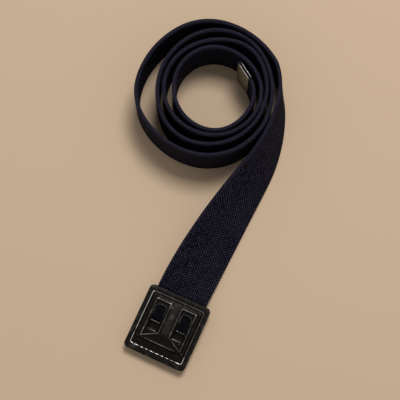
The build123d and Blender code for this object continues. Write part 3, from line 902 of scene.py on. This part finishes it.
navy_webbing = bpy.data.materials.new("navy webbing")
navy_webbing.use_nodes = True
tree = navy_webbing.node_tree
shader = tree.nodes["Principled BSDF"]
threads = tree.nodes.new("ShaderNodeUVMap")
threads.uv_map = "thread_count"
split = tree.nodes.new("ShaderNodeSeparateXYZ")
tree.links.new(threads.outputs["UV"], split.inputs[0])
cloth = tree.nodes.new("ShaderNodeGroup")
cloth.node_tree = weave
cloth.inputs["Strands"].default_value = 4
tree.links.new(split.outputs["X"], cloth.inputs["Along"])
tree.links.new(split.outputs["Y"], cloth.inputs["Across"])
place = tree.nodes.new("ShaderNodeTexCoord").outputs["Object"]
faded = spread(tree, noise(tree, place, 60, 4, 0.6), 0.35, 0.7)
fuzz = noise(tree, place, 3500, 3, 0.7)
# The near-black colour between the nodules is painted shade in the weave's gaps; the nodule tops vary in tone
# from nodule to nodule.
gap_shade = blend_colours(tree, faded, (0.0010, 0.0009, 0.0030), (0.0016, 0.0014, 0.0042))
top = blend_colours(tree, cloth.outputs["Tint"], (0.0130, 0.0113, 0.0285), (0.0600, 0.0540, 0.0960))
worn_top = blend_colours(tree, calc(tree, "MULTIPLY", faded, 0.35), top, (0.055, 0.051, 0.080))
from_edge = calc(tree, "PINGPONG", calc(tree, "ADD", split.outputs["Y"], 1.5), around / 4)
selvedge = calc(tree, "SUBTRACT", 1.0, spread(tree, from_edge, 1.2, 2.8))
worn_top = blend_colours(tree, calc(tree, "MULTIPLY", selvedge, 0.6), worn_top, (0.095, 0.089, 0.150))
crest = calc(tree, "MULTIPLY_ADD", cloth.outputs["Strand"], 0.18, cloth.outputs["Height"])
crest = calc(tree, "MULTIPLY_ADD", fuzz, 0.3, calc(tree, "SUBTRACT", crest, 0.24))
raised = spread(tree, crest, 0.42, 1.0)
yarn = blend_colours(tree, raised, gap_shade, worn_top)
lint = spread(tree, noise(tree, place, 1900, 2, 0.75), 0.7, 0.8)
# The stretch inside the buckle is darkened nearly to black: painted shade under the plate.
outside_buckle = spread(tree, split.outputs["X"], (END_IN_BUCKLE - 1.5) / PICK, (END_IN_BUCKLE + 2.5) / PICK)
painted_buckle_shade = calc(tree, "MULTIPLY", calc(tree, "SUBTRACT", 1.0, outside_buckle), 0.72)
yarn = blend_colours(tree, painted_buckle_shade, yarn, (0.0010, 0.0008, 0.0009))
colour = blend_colours(tree, calc(tree, "MULTIPLY", lint, 0.5), yarn, (0.06, 0.057, 0.07))
tree.links.new(colour, shader.inputs["Base Color"])
shader.inputs["Roughness"].default_value = 0.9
shader.inputs["Specular IOR Level"].default_value = 0.06
relief_height = calc(tree, "MULTIPLY_ADD", cloth.outputs["Strand"], 0.16, cloth.outputs["Height"])
relief_height = calc(tree, "MULTIPLY_ADD", fuzz, 0.25, relief_height)
tree.links.new(bump(tree, relief_height, 0.00042), shader.inputs["Normal"])
strap_mesh.materials.append(navy_webbing)


# ==== Tip ferrule ================================================================
# Plated sheet folded over the strap's free end and pressed tight, open along both
# edges, held by a row of crimps. Its nose corners are rounded so that it threads easily.
CRIMP_PITCH = 4.0
CRIMP_DEPTH = 0.14
CRIMP_IN = 2.4
TIP_COLUMNS = 150
TIP_ROWS = 110
fold_radius = PRESSED_STRAP / 2 + TIP_SHEET
fold_half = pi / 2 * (fold_radius - TIP_SHEET / 2)
flat_length = TIP_LENGTH - fold_radius
tip_angle = fine_heading[-1]
tip_dir = Vector((cos(tip_angle), sin(tip_angle), 0))
tip_start = Vector((fine_x[-1], fine_y[-1], 0)) - tip_dir * held_in_tip
in_tip = Matrix.Translation(tip_start * MM) @ Matrix.Rotation(tip_angle, 4, "Z") @ Matrix.Scale(MM, 4)


def nose_share(x):
    """Angle past the start of the fold, from the flat side round to the nose's middle."""
    return pi / 2 * (1 - np.clip(np.abs(x) / fold_half, 0, 1))


run_tip = np.linspace(-fold_half - flat_length, fold_half + flat_length, TIP_COLUMNS)
share_z = np.linspace(-1, 1, TIP_ROWS)
reach = np.where(
    np.abs(run_tip) > fold_half,
    flat_length - (np.abs(run_tip) - fold_half),
    flat_length + fold_radius * np.sin(nose_share(run_tip)),
)
corner = np.clip(reach - (TIP_LENGTH - TIP_CORNER), 0, TIP_CORNER * 0.995)
half_height = STRAP_WIDTH / 2 - TIP_CORNER + np.sqrt(TIP_CORNER**2 - corner**2)
tip_z = STRAP_WIDTH / 2 + share_z[:, None] * half_height[None, :]
tip_rub = np.tile(np.maximum(level(1.4 - reach / 0.5), 0.4), (TIP_ROWS, 1))
tip_rub = np.maximum(tip_rub, level((np.abs(share_z)[:, None] - 0.955) / 0.03))
crimp_row = np.abs((tip_z - STRAP_WIDTH / 2 + CRIMP_PITCH / 2) % CRIMP_PITCH - CRIMP_PITCH / 2)
crimp = CRIMP_DEPTH * level(1.15 - np.hypot(reach[None, :] - CRIMP_IN, 0.55 * crimp_row) / 0.75)
edge_in = (1 - np.abs(share_z)[:, None]) * half_height[None, :]
rolled = 0.10 * (1 - level(edge_in / 0.5))
pressed_in = np.sign(run_tip)[None, :] * (crimp + rolled)
angle = nose_share(run_tip)
on_nose = np.abs(run_tip) <= fold_half
tip_skins = []
for depth, sunk in ((0.0, pressed_in), (TIP_SHEET, 0.0)):
    radius = fold_radius - depth
    skin_x = np.where(on_nose, flat_length + radius * np.sin(angle), reach)
    skin_y = np.sign(run_tip) * np.where(on_nose, radius * np.cos(angle), radius)
    skin_x = np.tile(skin_x, (TIP_ROWS, 1))
    skin_y = np.tile(skin_y, (TIP_ROWS, 1)) - sunk
    tip_skins.append(np.stack([skin_x, skin_y, tip_z], -1).reshape(-1, 3))
number = np.arange(TIP_ROWS * TIP_COLUMNS).reshape(TIP_ROWS, TIP_COLUMNS)
quads = [n.ravel() for n in (number[:-1, :-1], number[:-1, 1:], number[1:, 1:], number[1:, :-1])]
outer_quads = np.stack(quads, 1)
skin_points = number.size
loop = np.concatenate([number[0, :-1], number[:-1, -1], number[-1, :0:-1], number[:0:-1, 0]])
after = np.roll(loop, -1)
walls = np.stack([after, loop, loop + skin_points, after + skin_points], 1)
tip_faces = np.concatenate([outer_quads, outer_quads[:, ::-1] + skin_points, walls])
tip_shell = (np.concatenate(tip_skins), tip_faces, np.tile(tip_rub.ravel(), 2))
tip_ferrule = build_piece("folded_tip_ferrule", [tip_shell], in_tip)
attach(tip_ferrule, "belt")
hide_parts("tip_ferrule")
tip_plating = worn_steel("dull tip plating", (0.34, 0.33, 0.29), (0.12, 0.117, 0.10), 0.26)
tip_ferrule.data.materials.append(tip_plating)
